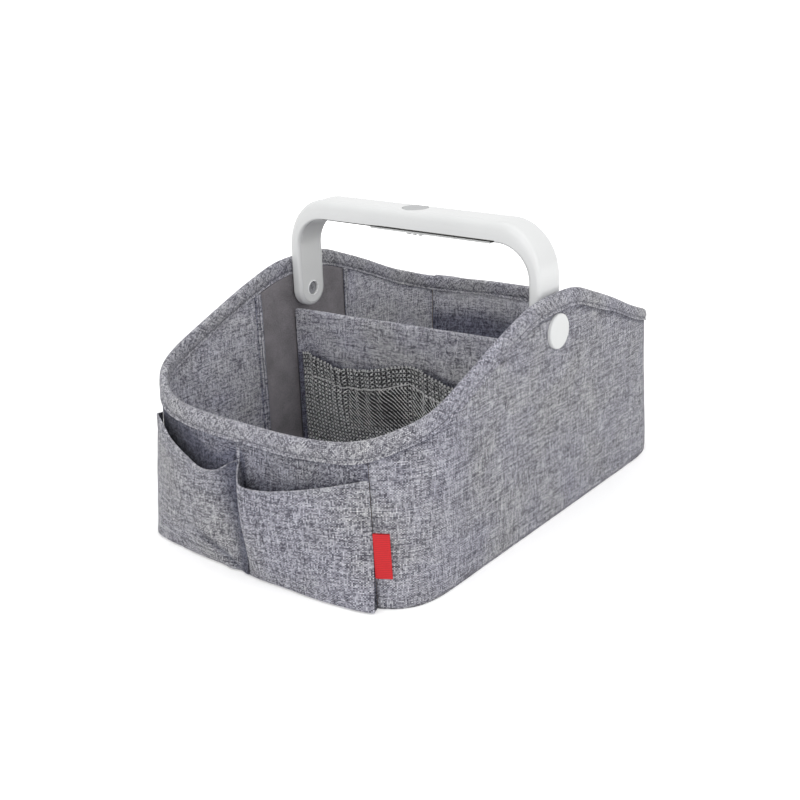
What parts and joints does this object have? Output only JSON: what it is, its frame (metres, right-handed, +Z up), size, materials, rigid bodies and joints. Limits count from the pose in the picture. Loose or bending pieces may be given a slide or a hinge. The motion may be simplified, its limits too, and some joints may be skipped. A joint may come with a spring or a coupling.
{
  "type": "diaper caddy",
  "caption": "Fabric nursery caddy with a curved bound rim, front pockets, a movable divider with net pockets and a swinging lit carrying handle.",
  "frame": {"origin": "on the floor, under the middle of the body's base", "axes": "+Z up, +Y to the back, the front pockets face -Y, the handle's pivots lie along X"},
  "size_m": [0.2346, 0.3635, 0.207],
  "materials": {
    "melange": "grey cross-woven melange cloth, light threads over dark blue-grey ones",
    "lining": "the same melange cloth, a little darker, on the inside",
    "board": "plain stiffener sheet, hidden between the cloths",
    "loop": "dark grey brushed loop cloth",
    "hook": "dark grey hook tape",
    "net": "open knitted net with diamond meshes",
    "elastic": "narrow woven elastic",
    "tab": "plain red woven tape",
    "plastic": "smooth off-white moulding",
    "pad": "satin grey touch surface",
    "lens": "milky diffuser",
    "circuit": "green circuit board",
    "emitter": "yellowish emitter dome",
    "cell": "plain dark sleeve",
    "steel": "plain zinc-coated steel"
  },
  "bodies": {
    "body": {"base_fabric": "melange", "base_board": "board", "base_lining": "lining", "outer_panel_front": "melange", "outer_panel_right": "melange", "outer_panel_back": "melange", "outer_panel_left": "melange", "wall_board_front": "board", "wall_board_right": "board", "wall_board_back": "board", "wall_board_left": "board", "lining_front": "lining", "lining_right": "lining", "lining_back": "lining", "lining_left": "lining", "rim_binding": "melange", "front_pocket_right": "melange", "front_pocket_left": "melange", "side_tab": "tab", "loop_band_right": "loop", "loop_band_left": "loop", "pivot_cap_left": "plastic", "pivot_cap_right": "plastic", "pivot_washer_left": "plastic", "pivot_washer_right": "plastic", "pivot_screw_left": "steel", "pivot_screw_right": "steel"},
    "handle": {"handle_shell": "plastic", "handle_cover": "plastic", "touch_pad": "pad", "light_lens": "lens", "led_board": "circuit", "led_1": "emitter", "led_2": "emitter", "led_3": "emitter", "battery_cell_1": "cell", "battery_cell_2": "cell", "contact_plate_left": "steel", "contact_plate_right": "steel"},
    "battery_door": {"battery_door": "plastic"},
    "divider": {"divider_sleeve": "melange", "divider_board": "board", "hook_strip_left": "hook", "hook_strip_right": "hook", "net_pocket_left": "net", "net_pocket_right": "net", "net_elastic_left": "elastic", "net_elastic_right": "elastic"}
  },
  "joints": [
    {"name": "handle_swing", "type": "hinge", "parent": "body", "child": "handle", "pos_m": [0, 0, 0.136], "axis": [1, 0, 0], "range_deg": [-90, 90]},
    {"name": "battery_door_lift", "type": "slide", "parent": "handle", "child": "battery_door", "axis": [0, 0, -1], "range_m": [0, 0.012]},
    {"name": "divider_shift", "type": "slide", "parent": "body", "child": "divider", "axis": [0, 1, 0], "range_m": [-0.034, 0.036]}
  ]
}
